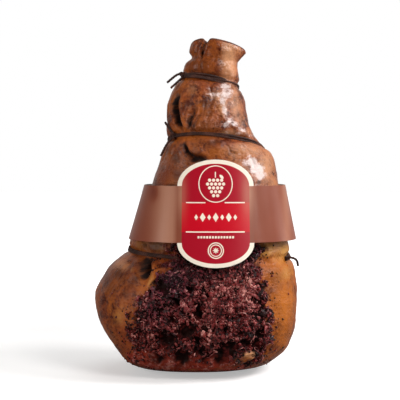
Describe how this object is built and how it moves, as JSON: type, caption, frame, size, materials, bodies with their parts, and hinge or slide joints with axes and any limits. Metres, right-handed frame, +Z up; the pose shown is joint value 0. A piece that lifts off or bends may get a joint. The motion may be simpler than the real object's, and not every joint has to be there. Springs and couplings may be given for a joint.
{
  "type": "cured ham",
  "caption": "Boneless cured ham standing on its broad end: tied rind with a rolled cuff, marc crust over the front, and a card sleeve with a rounded label face.",
  "frame": {"origin": "on the flat underside that the ham rests on, under the middle of its broad end", "axes": "+Z up along the ham's height, +X to the right as the label is read, +Y away from the label towards the back"},
  "size_m": [0.2187, 0.1778, 0.3551],
  "materials": {
    "rind": "gloss",
    "twine": "matte",
    "card": "satin"
  },
  "bodies": {
    "root": {"ham": "rind", "neck_twine": "twine", "shoulder_twine": "twine", "belly_twine": "twine", "card_sleeve": "card"}
  },
  "joints": []
}
